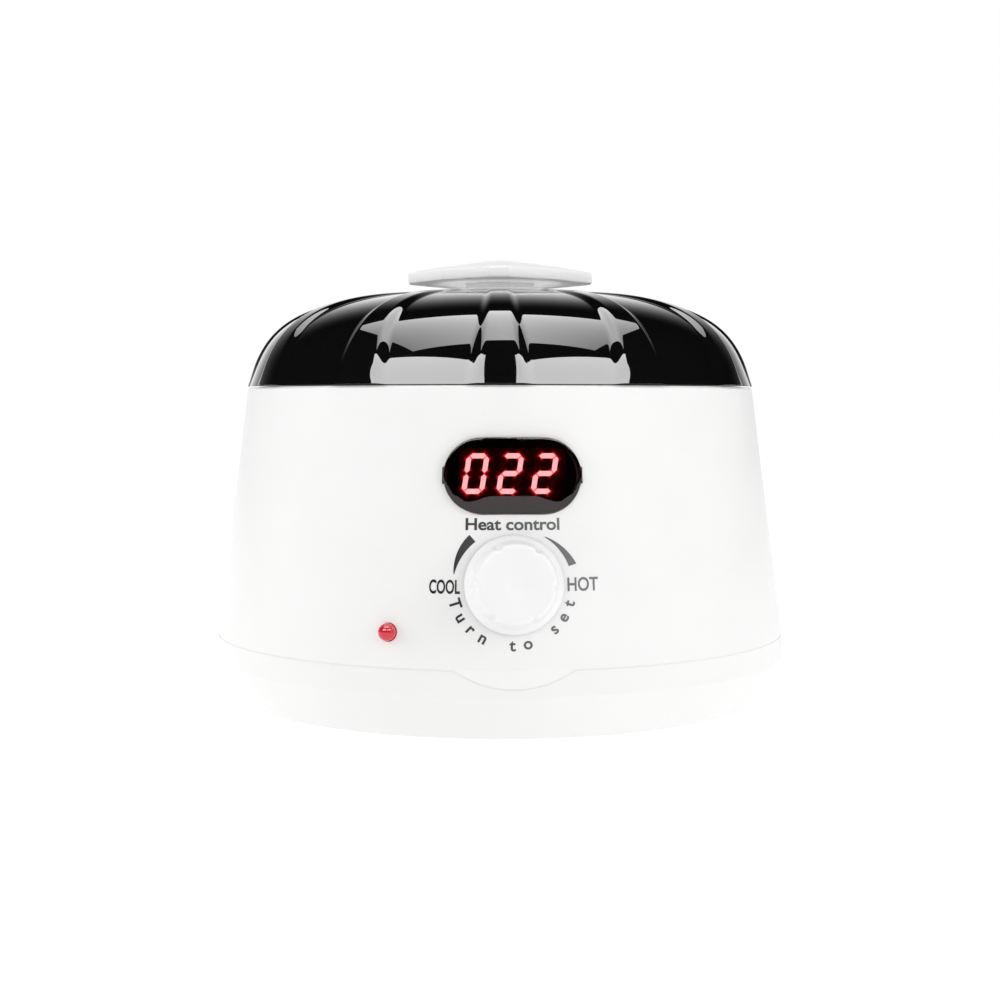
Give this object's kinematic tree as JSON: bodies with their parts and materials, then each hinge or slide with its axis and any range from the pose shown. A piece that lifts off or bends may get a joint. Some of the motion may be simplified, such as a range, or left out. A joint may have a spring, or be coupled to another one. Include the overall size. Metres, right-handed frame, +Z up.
{
  "type": "wax warmer pot",
  "caption": "Round countertop wax warmer: conical housing on a bevelled base, heated bowl, lift-out pot with bail, domed lid, dial and digital display.",
  "frame": {"origin": "on the floor under the axis of the round housing; also the centre of the object's bounding box in plan", "axes": "+Z up along the housing's axis; -Y is the front with the display and the knob; +X is the object's right seen from the front"},
  "size_m": [0.1862, 0.2112, 0.1429],
  "materials": {
    "housing_white": "injection-moulded ABS, satin gloss",
    "base_white": "injection-moulded ABS, satin gloss",
    "handle_white": "injection-moulded ABS, satin",
    "knob_white": "injection-moulded ABS, satin gloss",
    "gland_white": "moulded nylon",
    "lid_black": "polished smoky black",
    "lens_red": "polished dark red window",
    "led_red": "clear-moulded red",
    "segment_lit": "glowing light bars",
    "segment_dark": "unlit light bars",
    "module_black": "moulded",
    "board_green": "solder-masked glass-fibre board",
    "relay_blue": "moulded",
    "capacitor_black": "sleeved can",
    "terminal_grey": "moulded nylon",
    "thermostat_case": "moulded phenolic",
    "foot_rubber": "matt",
    "seal_silicone": "moulded silicone",
    "screw_steel": "zinc plated",
    "bracket_steel": "galvanised, stamped",
    "shield_steel": "galvanised sheet",
    "shaft_steel": "turned",
    "bail_steel": "stainless, polished",
    "plate_silver": "blank brushed plate",
    "bowl_aluminium": "spun",
    "pot_aluminium": "drawn, satin",
    "brass_parts": "turned",
    "band_mica": "mica sheet",
    "fuse_ceramic": "glazed tube",
    "lead_glassfibre": "glass-fibre sleeved",
    "lead_grey": "insulated wire",
    "lead_red": "insulated wire",
    "lead_black": "insulated wire",
    "lead_blue": "insulated wire"
  },
  "bodies": {
    "base": {"housing": "housing_white", "base_cover": "base_white", "rubber_feet": "foot_rubber", "base_screws": "screw_steel", "rating_plate": "plate_silver", "bowl_seal": "seal_silicone", "heating_bowl": "bowl_aluminium", "bowl_spacer": "bracket_steel", "bowl_bracket": "bracket_steel", "bowl_nut": "screw_steel", "bracket_screws": "screw_steel", "heater_band": "band_mica", "heater_clamp": "bracket_steel", "clamp_bolt": "screw_steel", "heat_shield": "shield_steel", "temperature_sensor": "brass_parts", "thermal_fuse": "fuse_ceramic", "fuse_clip": "bracket_steel", "thermostat_body": "thermostat_case", "thermostat_nut": "brass_parts", "display_lens": "lens_red", "lit_segments": "segment_lit", "unlit_segments": "segment_dark", "display_module": "module_black", "display_board": "board_green", "display_screws": "screw_steel", "indicator_led": "led_red", "led_holder": "module_black", "power_board": "board_green", "board_screws": "screw_steel", "power_relay": "relay_blue", "power_capacitor": "capacitor_black", "terminal_block": "terminal_grey", "cord_gland": "gland_white", "gland_nut": "gland_white", "heater_leads": "lead_glassfibre", "display_cable": "lead_grey", "led_leads": "lead_red", "sensor_lead": "lead_black", "thermostat_leads": "lead_blue"},
    "pot": {"wax_pot": "pot_aluminium", "pot_ears": "bail_steel", "ear_rivets": "pot_aluminium"},
    "bail": {"bail_handle": "bail_steel"},
    "lid": {"lid_dome": "lid_black", "lid_handle": "handle_white", "lid_washer": "screw_steel", "lid_screw": "screw_steel"},
    "knob": {"control_knob": "knob_white", "thermostat_shaft": "shaft_steel"}
  },
  "joints": [
    {"name": "pot_lift", "type": "slide", "parent": "base", "child": "pot", "axis": [0, 0, 1], "range_m": [0, 0.12]},
    {"name": "lid_lift", "type": "slide", "parent": "pot", "child": "lid", "axis": [0, 0, 1], "range_m": [0, 0.15]},
    {"name": "bail_swing", "type": "hinge", "parent": "pot", "child": "bail", "pos_m": [0, 0, 0.105], "axis": [-1, 0, 0], "range_deg": [0, 90]},
    {"name": "knob_turn", "type": "hinge", "parent": "base", "child": "knob", "pos_m": [0, -0.08995, 0.0454], "axis": [0, 0.9917, -0.1288], "range_deg": [0, 180]}
  ],
  "couplings": [
    {"joint": "bail_swing", "follows": "lid_lift", "rad_per_m": 10.472}
  ]
}
